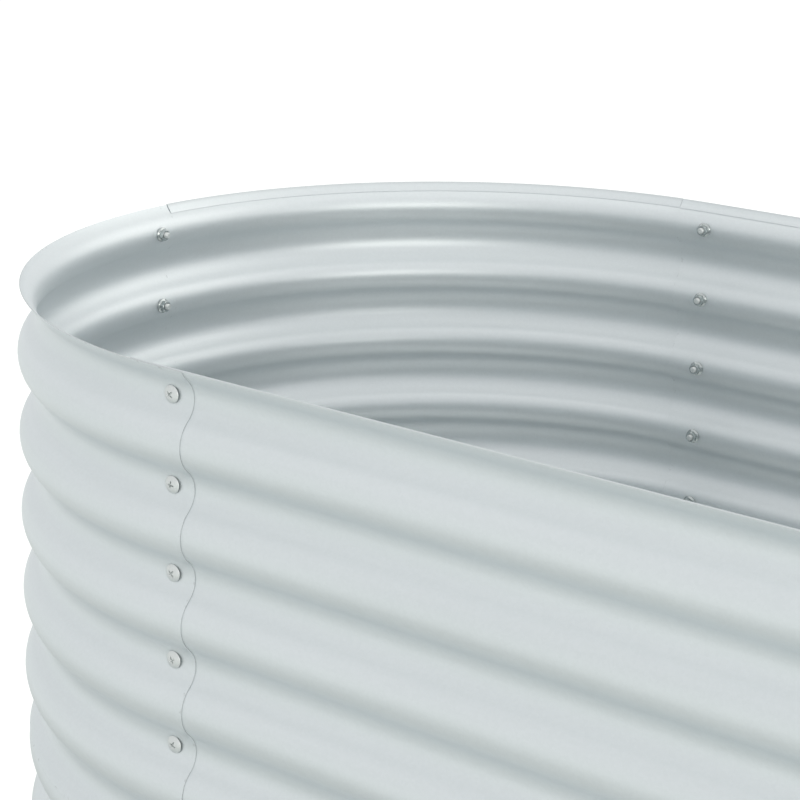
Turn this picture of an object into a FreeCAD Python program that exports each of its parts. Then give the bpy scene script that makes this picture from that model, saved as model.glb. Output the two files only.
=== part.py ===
"""Raised garden bed: an oval ring of corrugated steel panels in two tiers, bolted at six lap seams.

Millimetres. +Z is up and +X runs along the long walls. The origin is the middle of the footprint,
on the ground. The wall's waves run level around the bed, so one wave profile, drawn as radius
against height, is pushed along the straight walls and turned about the middle of each rounded end.
"""
import FreeCAD, Part
import math
import os
from collections import namedtuple

Vector = FreeCAD.Vector

# The bed
bed_length = 1600.0            # over the outermost crests of the two rounded ends
bed_width = 800.0              # over the outermost crests of the two long walls
wave_pitch = 72.0              # crest to crest
wave_depth = 16.5              # valley to crest on one face of a sheet
waves_per_tier = 5             # whole waves between a tier's first and last bolt valley
edge_margin = 25.0             # from a tier's top or bottom edge to its nearest bolt valley
sheet_thickness = 0.6
nesting_clearance = 0.05       # between the faces of two sheets that lap

# The hem: the top edges of the straight panels and of the outer quarter panels are folded inwards
# and hang down inside the wall. The inner quarter panels keep a bare edge.
hem_length = 8.5               # from the top of the fold to the hem's free edge
hem_gap = 0.3                  # between the folded strip and the sheet behind it
hem_notch_clearance = 1.0      # from a panel's end edge to the hem of the panel that laps over it

# The laps, measured along the wall from the bolt line to the edge of the sheet
straight_panel_lap = 33.0      # the straight panel, inside the quarter panel
quarter_panel_lap = 22.0       # the quarter panel, outside the straight panel
end_lap = 20.0                 # either quarter panel at the middle of a rounded end

# The screw: a low domed head with a cross recess
thread_diameter = 6.0
hole_clearance = 0.5           # between the thread and the hole, on the radius
head_diameter = 14.5
head_rim = 0.4                 # height of the head's straight rim
head_dome = 2.4                # height of the dome above the rim
recess_span = 6.4              # tip to tip of the cross at the top of the dome
recess_foot = 3.0              # tip to tip of the cross at its floor
recess_width = 1.4
recess_depth = 2.1
thread_showing = 0.7           # past the nut, where the stack of sheets is thickest
tip_chamfer = 0.8

# The flange nut
nut_height = 6.0
nut_across_flats = 10.0
nut_flange_diameter = 14.2
nut_flange_rim = 1.0           # thickness of the flange at its edge
nut_flange_rise = 0.9          # height of the cone from the flange's edge to the flats
nut_corner_chamfer = 0.8       # height of the chamfer on the hexagon's corners
thread_fit = 0.05              # between the thread and the nut's bore, on the radius
seat_clearance = 0.05          # under the screw's head and under the nut's flange

# Layers of sheet, counted from the inside. A tier is one ring of three layers, and the upper
# ring is slipped over the lower one.
layers_per_tier = 3
straight_layer = 0
inner_quarter_layer = 1
outer_quarter_layer = 2
layer_step = sheet_thickness + nesting_clearance

# The wave is a chain of equal bends, each joined to the next without a kink
quarter_wave = wave_pitch / 4.0
flank_angle = 2.0 * math.atan2(wave_depth / 2.0, quarter_wave)
bend_radius = quarter_wave / math.sin(flank_angle)

# Offsets are measured outwards, square to the sheet, from the innermost sheet's inner face
outermost_offset = (2 * layers_per_tier - 1) * layer_step + sheet_thickness
valley_radius = bed_width / 2.0 - outermost_offset - wave_depth
wall_radius = valley_radius + wave_depth / 2.0
end_centre = (bed_length - bed_width) / 2.0
tier_rise = waves_per_tier * wave_pitch
tier_height = tier_rise + 2.0 * edge_margin
fold_radius = sheet_thickness + hem_gap / 2.0

origin = Vector(0, 0, 0)
up = Vector(0, 0, 1)
along_x = Vector(1, 0, 0)
front, left, back, right = 270.0, 180.0, 90.0, 0.0
shortest_edge = 1e-4

Bend = namedtuple("Bend", "radius_out height side radius")
Outlines = namedtuple("Outlines", "plain hemmed hem")
Seam = namedtuple("Seam", "name centre_x azimuth inner_layer outer_layer")

seams = [
    Seam("front_left", -end_centre, front, straight_layer, inner_quarter_layer),
    Seam("left_end", -end_centre, left, inner_quarter_layer, outer_quarter_layer),
    Seam("back_left", -end_centre, back, straight_layer, outer_quarter_layer),
    Seam("back_right", end_centre, back, straight_layer, inner_quarter_layer),
    Seam("right_end", end_centre, right, inner_quarter_layer, outer_quarter_layer),
    Seam("front_right", end_centre, front, straight_layer, outer_quarter_layer),
]


def wave_bend(tier, index, offset):
    """One bend of a tier's wave at an offset. Even bends are valleys and odd bends are crests."""
    height = tier * tier_rise + edge_margin + index * wave_pitch / 2.0
    if index % 2 == 0:
        return Bend(valley_radius + bend_radius, height, -1.0, bend_radius - offset)
    return Bend(valley_radius + wave_depth - bend_radius, height, 1.0, bend_radius + offset)


def point_on(bend, height):
    """The point of a bend at a height, as radius along X and height along Z."""
    reach = math.sqrt(bend.radius ** 2 - (height - bend.height) ** 2)
    return Vector(bend.radius_out + bend.side * reach, 0, height)


def wave_edges(tier, offset, low, high):
    """The arcs of the wave at an offset between two heights, from the bottom up."""
    edges = []
    for index in range(-1, 2 * waves_per_tier + 2):
        bend = wave_bend(tier, index, offset)
        half_height = bend.radius * math.sin(flank_angle)
        start = max(low, bend.height - half_height)
        finish = min(high, bend.height + half_height)
        if finish - start > shortest_edge:
            middle = (start + finish) / 2.0
            arc = Part.Arc(point_on(bend, start), point_on(bend, middle), point_on(bend, finish))
            edges.append(arc.toShape())
    return edges


def fold_angle(tier, layer):
    """The bend that holds a panel's fold, and the angle from its middle up to the fold."""
    offset = layer * layer_step - hem_gap / 2.0
    height = tier * tier_rise + tier_height - fold_radius
    for index in range(2 * waves_per_tier + 1, -2, -1):
        bend = wave_bend(tier, index, offset)
        sine = (height - bend.height) / bend.radius
        if abs(sine) <= math.sin(flank_angle):
            return index, math.asin(sine)
    raise ValueError("the top edge lies past the last bend of the wave")


def edge_point(tier, layer, offset):
    """The point at an offset on the line across the sheet where its fold begins."""
    index, angle = fold_angle(tier, layer)
    bend = wave_bend(tier, index, offset)
    reach = bend.side * bend.radius * math.cos(angle)
    return Vector(bend.radius_out + reach, 0, bend.height + bend.radius * math.sin(angle))


def fold_arc(tier, layer, radius):
    """A half turn over the top of the sheet, from its outer side to the hem's side."""
    index, angle = fold_angle(tier, layer)
    side = wave_bend(tier, index, 0.0).side
    middle_offset = layer * layer_step - hem_gap / 2.0
    centre = edge_point(tier, layer, middle_offset)
    rise = Vector(-side * math.sin(angle), 0, math.cos(angle))
    start = edge_point(tier, layer, middle_offset + radius)
    finish = edge_point(tier, layer, middle_offset - radius)
    return Part.Arc(start, centre + rise * radius, finish).toShape()


def line(start, finish):
    return Part.LineSegment(start, finish).toShape()


def sheet_cut(tier, layer):
    """The plain sheet across the wall: its faces' edges, its foot and its bare top edge."""
    inner = layer * layer_step
    outer = inner + sheet_thickness
    bottom = tier * tier_rise
    inner_top = edge_point(tier, layer, inner)
    outer_top = edge_point(tier, layer, outer)
    inner_edges = wave_edges(tier, inner, bottom, inner_top.z)
    outer_edges = wave_edges(tier, outer, bottom, outer_top.z)
    foot = line(low_end(inner_edges), low_end(outer_edges))
    return [foot] + outer_edges, line(outer_top, inner_top), inner_edges[::-1]


def hem_cut(tier, layer):
    """The hem across the wall: over the fold, down the far side, round the lip and up again."""
    near = layer * layer_step - hem_gap
    far = near - sheet_thickness
    free_edge = tier * tier_rise + tier_height - hem_length
    far_edges = wave_edges(tier, far, free_edge, edge_point(tier, layer, far).z)
    near_edges = wave_edges(tier, near, free_edge, edge_point(tier, layer, near).z)
    lip = line(low_end(far_edges), low_end(near_edges))
    outside = fold_arc(tier, layer, fold_radius)
    inside = fold_arc(tier, layer, hem_gap / 2.0)
    return [outside] + far_edges[::-1] + [lip] + near_edges + [inside]


def low_end(edges):
    """The lowest point of a chain of edges that was drawn from the bottom up."""
    return edges[0].valueAt(edges[0].FirstParameter)


def outlines(tier, layer):
    """Closed outlines of the plain sheet, of the hemmed sheet, and of the hem by itself."""
    outer_side, bare_top, inner_side = sheet_cut(tier, layer)
    hem = hem_cut(tier, layer)
    plain = Part.Wire(outer_side + [bare_top] + inner_side)
    hemmed = Part.Wire(outer_side + hem + inner_side)
    return Outlines(plain, hemmed, Part.Wire([bare_top] + hem))


def across_wall(outline, x, azimuth):
    """An outline stood up across the wall, about a vertical line through X, facing an azimuth."""
    placed = outline.copy()
    placed.rotate(origin, up, azimuth)
    placed.translate(Vector(x, 0, 0))
    return placed


def straight_run(outline, azimuth, start_x, finish_x):
    """The skin of a sheet along a long wall."""
    return across_wall(outline, start_x, azimuth).extrude(Vector(finish_x - start_x, 0, 0))


def curved_run(outline, centre_x, start_azimuth, finish_azimuth):
    """The skin of a sheet round a rounded end."""
    start = across_wall(outline, centre_x, start_azimuth)
    return start.revolve(Vector(centre_x, 0, 0), up, finish_azimuth - start_azimuth)


def wall_angle(length):
    """The turn, in degrees, that a length along the wall takes at a rounded end."""
    return math.degrees(length / wall_radius)


def layer_in(tier, layer):
    """The layer counted through both rings, with the upper ring outside the lower one."""
    return tier * layers_per_tier + layer


def closed_sheet(runs, end_outlines):
    """One solid from the skins of runs that meet, and the outlines of its end faces."""
    faces = [face for run in runs for face in run.Faces]
    faces += [Part.Face(outline) for outline in end_outlines]
    skin = Part.makeShell(faces)
    skin.sewShape()
    sheet = Part.makeSolid(skin.Shells[0])
    if sheet.Volume < 0:
        sheet.reverse()
    return sheet


def straight_panel(tier):
    """The front wall's sheet, hemmed all along. Its ends are sprung round with the quarters."""
    hemmed = outlines(tier, layer_in(tier, straight_layer)).hemmed
    start = front - wall_angle(straight_panel_lap)
    finish = front + wall_angle(straight_panel_lap)
    runs = [
        curved_run(hemmed, -end_centre, start, front),
        straight_run(hemmed, front, -end_centre, end_centre),
        curved_run(hemmed, end_centre, front, finish),
    ]
    ends = [across_wall(hemmed, -end_centre, start), across_wall(hemmed, end_centre, finish)]
    return closed_sheet(runs, ends)


def inner_quarter_panel(tier):
    """The front left corner's sheet: outside the straight panel, inside the next quarter."""
    plain = outlines(tier, layer_in(tier, inner_quarter_layer)).plain
    start_x = -end_centre + quarter_panel_lap
    finish = left - wall_angle(end_lap)
    runs = [
        straight_run(plain, front, start_x, -end_centre),
        curved_run(plain, -end_centre, front, finish),
    ]
    ends = [across_wall(plain, start_x, front), across_wall(plain, -end_centre, finish)]
    return closed_sheet(runs, ends)


def outer_quarter_panel(tier):
    """The back left corner's sheet: outside its neighbours at both ends, so notched at both."""
    outline = outlines(tier, layer_in(tier, outer_quarter_layer))
    start_x = -end_centre + quarter_panel_lap
    back_notch = back + wall_angle(straight_panel_lap + hem_notch_clearance)
    end_notch = left - wall_angle(end_lap + hem_notch_clearance)
    finish = left + wall_angle(end_lap)
    runs = [
        straight_run(outline.plain, back, start_x, -end_centre),
        curved_run(outline.plain, -end_centre, back, back_notch),
        curved_run(outline.hemmed, -end_centre, back_notch, end_notch),
        curved_run(outline.plain, -end_centre, end_notch, finish),
    ]
    ends = [
        across_wall(outline.plain, start_x, back),
        across_wall(outline.hem, -end_centre, back_notch),
        across_wall(outline.hem, -end_centre, end_notch),
        across_wall(outline.plain, -end_centre, finish),
    ]
    return closed_sheet(runs, ends)


def place_on_seam(shape, seam, height):
    """A shape drawn along +X from the bed's middle line, set on a seam with +X pointing out."""
    placed = shape.copy()
    placed.rotate(origin, up, seam.azimuth)
    placed.translate(Vector(seam.centre_x, 0, height))
    return placed


def bolt_height(valley):
    """The height of a bolt valley, counted up the whole wall from the lowest one."""
    return edge_margin + valley * wave_pitch


def drilled(panel, tier, panel_seams):
    """A panel with a hole in each valley of its seams."""
    radius = thread_diameter / 2.0 + hole_clearance
    start = Vector(valley_radius - wave_depth / 2.0, 0, 0)
    drill = Part.makeCylinder(radius, wave_depth, start, along_x)
    lowest = tier * waves_per_tier
    heights = [bolt_height(valley) for valley in range(lowest, lowest + waves_per_tier + 1)]
    chosen = [seam for seam in seams if seam.name in panel_seams]
    drills = [place_on_seam(drill, seam, height) for seam in chosen for height in heights]
    return panel.cut(drills).Solids[0]


def arc_depth(radius, half_chord):
    """How far a flat disc stands off the bottom of a round hollow that it spans."""
    return radius - math.sqrt(radius ** 2 - half_chord ** 2)


def head_seat(outer_layer):
    """The radius of the plane under a screw's head, which rests on the sides of the valley."""
    offset = outer_layer * layer_step + sheet_thickness
    hollow = arc_depth(bend_radius - offset, head_diameter / 2.0)
    return valley_radius + offset + hollow + seat_clearance


def nut_seat(inner_layer):
    """The radius of the plane under a nut's flange, clear of the wall's curve at both sides."""
    sheet_face = valley_radius + inner_layer * layer_step
    return sheet_face - arc_depth(sheet_face, nut_flange_diameter / 2.0) - seat_clearance


def turned_solid(points):
    """A solid turned about the X axis from a closed outline in the plane of X and Z."""
    outline = Part.makePolygon([Vector(x, 0, z) for x, z in points + points[:1]])
    return Part.Face(outline).revolve(origin, along_x, 360)


def make_screw(shank):
    """A screw along the X axis, with the plane under its head at X = 0 and the head towards +X."""
    thread = thread_diameter / 2.0
    body = turned_solid([
        (0.0, 0.0), (0.0, thread), (-shank + tip_chamfer, thread),
        (-shank, thread - tip_chamfer), (-shank, 0.0),
    ])
    rim = head_diameter / 2.0
    dome_radius = (rim ** 2 + head_dome ** 2) / (2.0 * head_dome)
    dome_centre = Vector(head_rim + head_dome - dome_radius, 0, 0)
    disc = Part.makeCylinder(rim, head_rim + head_dome, origin, along_x)
    head = disc.common(Part.makeSphere(dome_radius, dome_centre))
    return body.fuse(head).removeSplitter().cut(cross_recess()).Solids[0]


def cross_recess():
    """Two crossed slots in the crown of the head, which narrow towards their floor."""
    crown = head_rim + head_dome
    floor = crown - recess_depth
    top = recess_span / 2.0
    foot = recess_foot / 2.0
    above = crown + head_rim
    slant = (top - foot) * (above - floor) / recess_depth
    points = [(floor, -foot), (floor, foot), (above, foot + slant), (above, -foot - slant)]
    side = -recess_width / 2.0
    outline = Part.makePolygon([Vector(x, side, z) for x, z in points + points[:1]])
    slot = Part.Face(outline).extrude(Vector(0, recess_width, 0))
    other = slot.copy()
    other.rotate(origin, along_x, 90)
    return slot.fuse(other)


def make_nut():
    """A flange nut along the X axis, with its flange's face at X = 0 and its body towards -X."""
    corner = nut_across_flats / math.sqrt(3.0)
    turns = [math.radians(60 * step) for step in range(7)]
    corners = [Vector(0, corner * math.cos(turn), corner * math.sin(turn)) for turn in turns]
    hexagon = Part.Face(Part.makePolygon(corners))
    prism = hexagon.extrude(Vector(-nut_height, 0, 0))
    flat = nut_across_flats / 2.0
    envelope = turned_solid([
        (0.0, 0.0), (0.0, corner), (-nut_height + nut_corner_chamfer, corner),
        (-nut_height, flat), (-nut_height, 0.0),
    ])
    rim = nut_flange_diameter / 2.0
    flange = turned_solid([
        (0.0, 0.0), (0.0, rim), (-nut_flange_rim, rim),
        (-nut_flange_rim - nut_flange_rise, flat), (-nut_flange_rim - nut_flange_rise, 0.0),
    ])
    bore_radius = thread_diameter / 2.0 + thread_fit
    bore = Part.makeCylinder(bore_radius, nut_height, Vector(-nut_height, 0, 0), along_x)
    return prism.common(envelope).fuse(flange).cut(bore).Solids[0]


def half_turn(shape):
    """The same shape on the opposite corner or wall of the bed."""
    turned = shape.copy()
    turned.rotate(origin, up, 180)
    return turned


def make_panels():
    """The twelve panels by name."""
    panels = {}
    for tier, tier_name in enumerate(["lower", "upper"]):
        sheet = drilled(straight_panel(tier), tier, ["front_left", "front_right"])
        panels[tier_name + "_front_straight_panel"] = sheet
        panels[tier_name + "_back_straight_panel"] = half_turn(sheet)
        sheet = drilled(inner_quarter_panel(tier), tier, ["front_left", "left_end"])
        panels[tier_name + "_front_left_quarter_panel"] = sheet
        panels[tier_name + "_back_right_quarter_panel"] = half_turn(sheet)
        sheet = drilled(outer_quarter_panel(tier), tier, ["back_left", "left_end"])
        panels[tier_name + "_back_left_quarter_panel"] = sheet
        panels[tier_name + "_front_right_quarter_panel"] = half_turn(sheet)
    return panels


def bolt_rows():
    """The rows of fasteners on a seam: name, valleys, and the tiers of the inner and outer sheet."""
    return [
        ("lower", range(waves_per_tier), 0, 0),
        ("lap", [waves_per_tier], 0, 1),
        ("upper", range(waves_per_tier + 1, 2 * waves_per_tier + 1), 1, 1),
    ]


def make_fasteners():
    """The screws and nuts of each seam, in rows, by name."""
    outermost_seat = head_seat(layer_in(1, outer_quarter_layer))
    innermost_seat = nut_seat(layer_in(0, straight_layer))
    thickest_grip = outermost_seat - innermost_seat
    screw = make_screw(thickest_grip + nut_height + thread_showing)
    nut = make_nut()
    fasteners = {}
    for seam in seams:
        for row, valleys, inner_tier, outer_tier in bolt_rows():
            outer_layer = layer_in(outer_tier, seam.outer_layer)
            inner_layer = layer_in(inner_tier, seam.inner_layer)
            seated_screw = screw.translated(Vector(head_seat(outer_layer), 0, 0))
            seated_nut = nut.translated(Vector(nut_seat(inner_layer), 0, 0))
            heights = [bolt_height(valley) for valley in valleys]
            screws = [place_on_seam(seated_screw, seam, height) for height in heights]
            nuts = [place_on_seam(seated_nut, seam, height) for height in heights]
            fasteners[seam.name + "_" + row + "_screws"] = Part.makeCompound(screws)
            fasteners[seam.name + "_" + row + "_nuts"] = Part.makeCompound(nuts)
    return fasteners


os.makedirs("parts", exist_ok=True)
pieces = {**make_panels(), **make_fasteners()}
for name, shape in pieces.items():
    shape.exportStep("parts/" + name + ".step")
    box = shape.BoundBox
    print(name, "valid", shape.isValid(), "solids", len(shape.Solids), "volume", round(shape.Volume, 1),
          "x", round(box.XMin, 2), round(box.XMax, 2), "y", round(box.YMin, 2), round(box.YMax, 2),
          "z", round(box.ZMin, 2), round(box.ZMax, 2))
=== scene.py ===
# %% [markdown]
# # A raised garden bed in corrugated steel
# This lesson dresses an oval garden bed that is 1600 mm long, 800 mm wide and 770 mm high. Twelve
# sheets of coated steel make its wall, in two rings one on top of the other, and screws with
# flange nuts hold them together at six seams.
# The imported model is loaded first. It is the frame that every new piece has to agree with, so
# its box is kept.

# %% Load the frame
import math
import random

import bmesh
import bpy
import numpy as np
from mathutils import Matrix, Vector


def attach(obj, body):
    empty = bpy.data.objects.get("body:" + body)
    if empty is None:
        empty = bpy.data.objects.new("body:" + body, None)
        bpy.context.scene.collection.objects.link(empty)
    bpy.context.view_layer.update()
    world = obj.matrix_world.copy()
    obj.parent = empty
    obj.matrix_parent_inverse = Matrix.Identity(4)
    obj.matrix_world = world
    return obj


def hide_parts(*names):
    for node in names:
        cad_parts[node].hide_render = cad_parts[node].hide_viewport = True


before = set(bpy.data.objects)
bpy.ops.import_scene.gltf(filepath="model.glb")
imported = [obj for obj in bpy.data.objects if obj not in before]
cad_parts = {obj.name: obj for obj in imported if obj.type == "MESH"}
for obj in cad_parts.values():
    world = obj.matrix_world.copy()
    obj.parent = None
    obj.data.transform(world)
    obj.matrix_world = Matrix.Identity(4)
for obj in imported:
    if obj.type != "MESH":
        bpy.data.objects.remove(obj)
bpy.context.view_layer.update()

# %% [markdown]
# ## Sizes
# Sheet metal is drawn from a few shop numbers: the pitch and depth of the wave, the thickness of
# the sheet, and how far each panel laps over the next. Everything else follows from them. Blender
# works in metres, so each size is written in millimetres and multiplied by MM.

# %% Sizes of the bed
MM = 0.001
BED_LENGTH, BED_WIDTH = 1600 * MM, 800 * MM
WAVE_PITCH, WAVE_DEPTH = 72 * MM, 16.5 * MM
WAVES_PER_RING = 5
EDGE_MARGIN = 25 * MM
THICKNESS = 0.6 * MM
LAYER_STEP = 0.65 * MM
LAYERS_PER_RING = 3
HEM_LENGTH, HEM_GAP = 8.5 * MM, 0.3 * MM
STRAIGHT_LAP, QUARTER_LAP, END_LAP, HEM_NOTCH = 33 * MM, 22 * MM, 20 * MM, 1.0 * MM

QUARTER_WAVE = WAVE_PITCH / 4
FLANK = 2 * math.atan2(WAVE_DEPTH / 2, QUARTER_WAVE)
BEND_RADIUS = QUARTER_WAVE / math.sin(FLANK)
OUTERMOST_LAYER = 2 * LAYERS_PER_RING - 1
VALLEY_RADIUS = BED_WIDTH / 2 - OUTERMOST_LAYER * LAYER_STEP - THICKNESS - WAVE_DEPTH
WALL_RADIUS = VALLEY_RADIUS + WAVE_DEPTH / 2
END_CENTRE = (BED_LENGTH - BED_WIDTH) / 2
RING_RISE = WAVES_PER_RING * WAVE_PITCH
RING_HEIGHT = RING_RISE + 2 * EDGE_MARGIN
FOLD_RADIUS = THICKNESS + HEM_GAP / 2
FRONT, LEFT, BACK, RIGHT = 270.0, 180.0, 90.0, 0.0
print("flank", round(math.degrees(FLANK), 2), "degrees, bend radius", round(BEND_RADIUS / MM, 2), "mm")

# %% [markdown]
# ## The wave
# A rolled wave is a chain of equal bends, turned alternately in and out and joined without a
# kink. A sine curve would be the easy choice, but sheets that lap have to keep the same gap all
# the way, and only arcs about shared centres do that. So each point of the wave is named by its
# bend and by the angle from the bend's middle, and the sheet's layer moves it in or out.

# %% Points on the wave
BEND_STEPS = 12


def bend(ring, index, offset):
    """Radius and height of a bend's centre, the side it bulges to, and its own radius."""
    height = ring * RING_RISE + EDGE_MARGIN + index * WAVE_PITCH / 2
    if index % 2 == 0:
        return VALLEY_RADIUS + BEND_RADIUS, height, -1, BEND_RADIUS - offset
    return VALLEY_RADIUS + WAVE_DEPTH - BEND_RADIUS, height, 1, BEND_RADIUS + offset


def on_wave(ring, offset, place):
    """Radius and height of a place on the wave, which is a bend and an angle."""
    middle, height, side, radius = bend(ring, place[0], offset)
    return middle + side * radius * math.cos(place[1]), height + radius * math.sin(place[1])


def place_at(ring, offset, height):
    """The place on the wave at a height."""
    for index in range(2 * WAVES_PER_RING + 1, -2, -1):
        middle, bend_height, side, radius = bend(ring, index, offset)
        sine = (height - bend_height) / radius
        if abs(sine) <= math.sin(FLANK) + 1e-6:
            return index, math.asin(sine)
    raise ValueError("that height is past the ends of the wave")


def wave_line(ring, offset, low, top, steps_offset):
    """Points up the wave from a height to a place, at the same bends and angles in every layer."""
    low_place = place_at(ring, steps_offset, low)
    turns = [place[0] * 2 * FLANK + place[1] for place in (low_place, top)]
    points = [on_wave(ring, offset, place_at(ring, offset, low))]
    step = 2 * FLANK / BEND_STEPS
    for index in range(-1, 2 * WAVES_PER_RING + 2):
        for count in range(BEND_STEPS):
            angle = -FLANK + count * step
            turn = index * 2 * FLANK + angle
            if turns[0] + step / 3 < turn < turns[1] - step / 3:
                points.append(on_wave(ring, offset, (index, angle)))
    return points + [on_wave(ring, offset, top)]


highest = place_at(0, 0.0, RING_HEIGHT - 1 * MM)
print("points up one sheet", len(wave_line(0, 0.0, 0.0, highest, 0.0)))

# %% [markdown]
# ## The section of a sheet
# Each sheet has two skins 0.6 mm apart. A hem stiffens most top edges: the sheet is folded over
# inwards by a half turn and hangs 8.5 mm down inside the wall. The skins and the hem are drawn as
# pairs of points, one on each side of the metal, so that every cut edge can be closed with a
# clean strip of four-sided faces. A square free edge would show as a hard dark line under the
# hem, so its last stretch is thinned and drawn closer to the wall, as if it were pressed flat.

# %% Section of a sheet
LIP_LENGTH, LIP_PRESS, LIP_EDGE = 1.4 * MM, 0.2 * MM, 0.25 * MM
FOLD_STEPS = 8


def top_place(ring, layer):
    """The place on the wave where the top edge is, or where its fold begins."""
    height = ring * RING_RISE + RING_HEIGHT - FOLD_RADIUS
    return place_at(ring, layer * LAYER_STEP - HEM_GAP / 2, height)


def skin_lines(ring, layer):
    """The outer and the inner skin from the foot to the top edge, as radius and height."""
    inner = layer * LAYER_STEP
    foot = ring * RING_RISE
    top = top_place(ring, layer)
    return [wave_line(ring, offset, foot, top, inner) for offset in (inner + THICKNESS, inner)]


def hem_lines(ring, layer):
    """Both faces of the hem, over the fold and down to its free edge."""
    near = layer * LAYER_STEP - HEM_GAP
    top = top_place(ring, layer)
    middle_radius, middle_height = on_wave(ring, near + HEM_GAP / 2, top)
    side = 1 if top[0] % 2 else -1
    out = Vector((math.cos(top[1]), side * math.sin(top[1])))
    rise = Vector((-side * math.sin(top[1]), math.cos(top[1])))
    free_edge = ring * RING_RISE + RING_HEIGHT - HEM_LENGTH
    lip_near = near + LIP_PRESS
    sides = ((FOLD_RADIUS, near - THICKNESS, lip_near - LIP_EDGE), (HEM_GAP / 2, near, lip_near))
    lines = []
    for radius, offset, lip in sides:
        fold = []
        for count in range(FOLD_STEPS + 1):
            turn = math.pi * count / FOLD_STEPS
            point = Vector((middle_radius, middle_height))
            point += radius * (out * math.cos(turn) + rise * math.sin(turn))
            fold.append(tuple(point))
        drop = wave_line(ring, offset, free_edge + LIP_LENGTH, top, near)[::-1]
        lines.append(fold + drop[1:] + [on_wave(ring, lip, place_at(ring, lip, free_edge))])
    return lines


rim_height = max(point[1] for point in hem_lines(1, LAYERS_PER_RING)[0])
print("upper straight sheet, rim height", round(rim_height / MM, 2), "mm")

# %% [markdown]
# ## The way along the wall
# Seen from above, a panel is a path: level stretches along the long walls and arcs round the two
# ends. The path is cut into short steps, shorter still next to the panel's end edges, where small
# scuffs and the cut edge itself are seen from close by.

# %% Steps along the wall
CURVE_STEP_DEGREES = 1.6
STRAIGHT_STEP = 32 * MM
END_STEPS = (1.5 * MM, 4 * MM, 8 * MM)


def leg_length(start, finish):
    """Length of a leg of the path, straight if its X changes and turned about an end if not."""
    if abs(start[0] - finish[0]) > 1e-9:
        return abs(start[0] - finish[0])
    return math.radians(abs(start[1] - finish[1])) * WALL_RADIUS


def path_steps(corners, hemmed_legs):
    """Stations of a path: X, azimuth, distance along the wall, and if the next step has a hem."""
    stations = []
    run = 0.0
    for leg, (start, finish) in enumerate(zip(corners, corners[1:])):
        length = leg_length(start, finish)
        curve_step = math.radians(CURVE_STEP_DEGREES) * WALL_RADIUS
        count = max(1, round(length / (STRAIGHT_STEP if start[0] != finish[0] else curve_step)))
        shares = {step / count for step in range(count)}
        if leg == 0:
            shares |= {away / length for away in END_STEPS if away < length}
        if leg == len(corners) - 2:
            shares |= {1 - away / length for away in END_STEPS if away < length}
        for share in sorted(shares):
            x = start[0] + share * (finish[0] - start[0])
            azimuth = start[1] + share * (finish[1] - start[1])
            stations.append((x, azimuth, run + share * length, hemmed_legs[leg]))
        run += length
    stations.append((corners[-1][0], corners[-1][1], run, hemmed_legs[-1]))
    return stations


def wall_turn(length):
    """Degrees that a length along the wall turns at a rounded end."""
    return math.degrees(length / WALL_RADIUS)


straight_path = [
    (-END_CENTRE, FRONT - wall_turn(STRAIGHT_LAP)), (-END_CENTRE, FRONT),
    (END_CENTRE, FRONT), (END_CENTRE, FRONT + wall_turn(STRAIGHT_LAP)),
]
inner_quarter_path = [
    (-END_CENTRE + QUARTER_LAP, FRONT), (-END_CENTRE, FRONT),
    (-END_CENTRE, LEFT - wall_turn(END_LAP)),
]
outer_quarter_path = [
    (-END_CENTRE + QUARTER_LAP, BACK), (-END_CENTRE, BACK),
    (-END_CENTRE, BACK + wall_turn(STRAIGHT_LAP + HEM_NOTCH)),
    (-END_CENTRE, LEFT - wall_turn(END_LAP + HEM_NOTCH)), (-END_CENTRE, LEFT + wall_turn(END_LAP)),
]
print("stations", len(path_steps(straight_path, [True] * 3)),
      len(path_steps(inner_quarter_path, [False] * 2)))

# %% [markdown]
# ## Points of a sheet
# A sheet could be a plane with a Solidify modifier, but then the hem, its notches and the bare cut
# edges couldn't differ. Here the section is carried along the path point by point.
# Every point also gets a flat position, in metres along and up the unrolled sheet, which becomes
# its UV, and an edge number. That number rises to one over the last 9 mm before a sheet's edge, for
# the scuffs, and is minus one on the fold of a hem, which is drawn rougher and painted darker, as
# painted shade that dims the fold's bright line.

# %% Points of a sheet
EDGE_REACH, ON_FOLD = 9 * MM, -1.0


def line_lengths(line):
    """Distance of each point of a line from its first point."""
    lengths = [0.0]
    for a, b in zip(line, line[1:]):
        lengths.append(lengths[-1] + math.dist(a, b))
    return lengths


def sheet_section(ring, layer):
    """Rows of the section, their heights on the flat sheet, and the rows in a skin and in a hem."""
    outer, inner = skin_lines(ring, layer)
    hem_far, hem_near = hem_lines(ring, layer)
    rows = outer + inner + hem_far[1:] + hem_near[1:]
    up_outer, up_hem = line_lengths(outer), line_lengths(hem_far)[1:]
    heights = up_outer + up_outer + [up_outer[-1] + up for up in up_hem] * 2
    return rows, heights, len(outer), len(up_hem)


def sheet_points(section, stations, turned):
    """Every point of a sheet, station by station, with its flat position and its edge number."""
    rows, heights, skin_rows, _ = section
    top, whole = heights[skin_rows - 1], stations[-1][2]
    sign = -1 if turned else 1
    points, flats, edges = [], [], []
    for x, azimuth, along, hemmed in stations:
        turn = math.radians(azimuth)
        for row, (radius, height) in enumerate(rows):
            points.append((sign * (x + radius * math.cos(turn)), sign * radius * math.sin(turn), height))
            flats.append((along, heights[row]))
            to_top = top - heights[row] if row < 2 * skin_rows else EDGE_REACH
            away = min(along, whole - along, heights[row], to_top + (EDGE_REACH if hemmed else 0))
            # Minus one marks the fold of a hem, which the finish darkens with painted shade.
            on_fold = 2 * skin_rows <= row < 2 * skin_rows + FOLD_STEPS
            edges.append(ON_FOLD if on_fold else max(0.0, 1.0 - max(away, 0.0) / EDGE_REACH))
    return points, flats, edges


print("rows in a section", len(sheet_section(0, 0)[0]))

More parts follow.
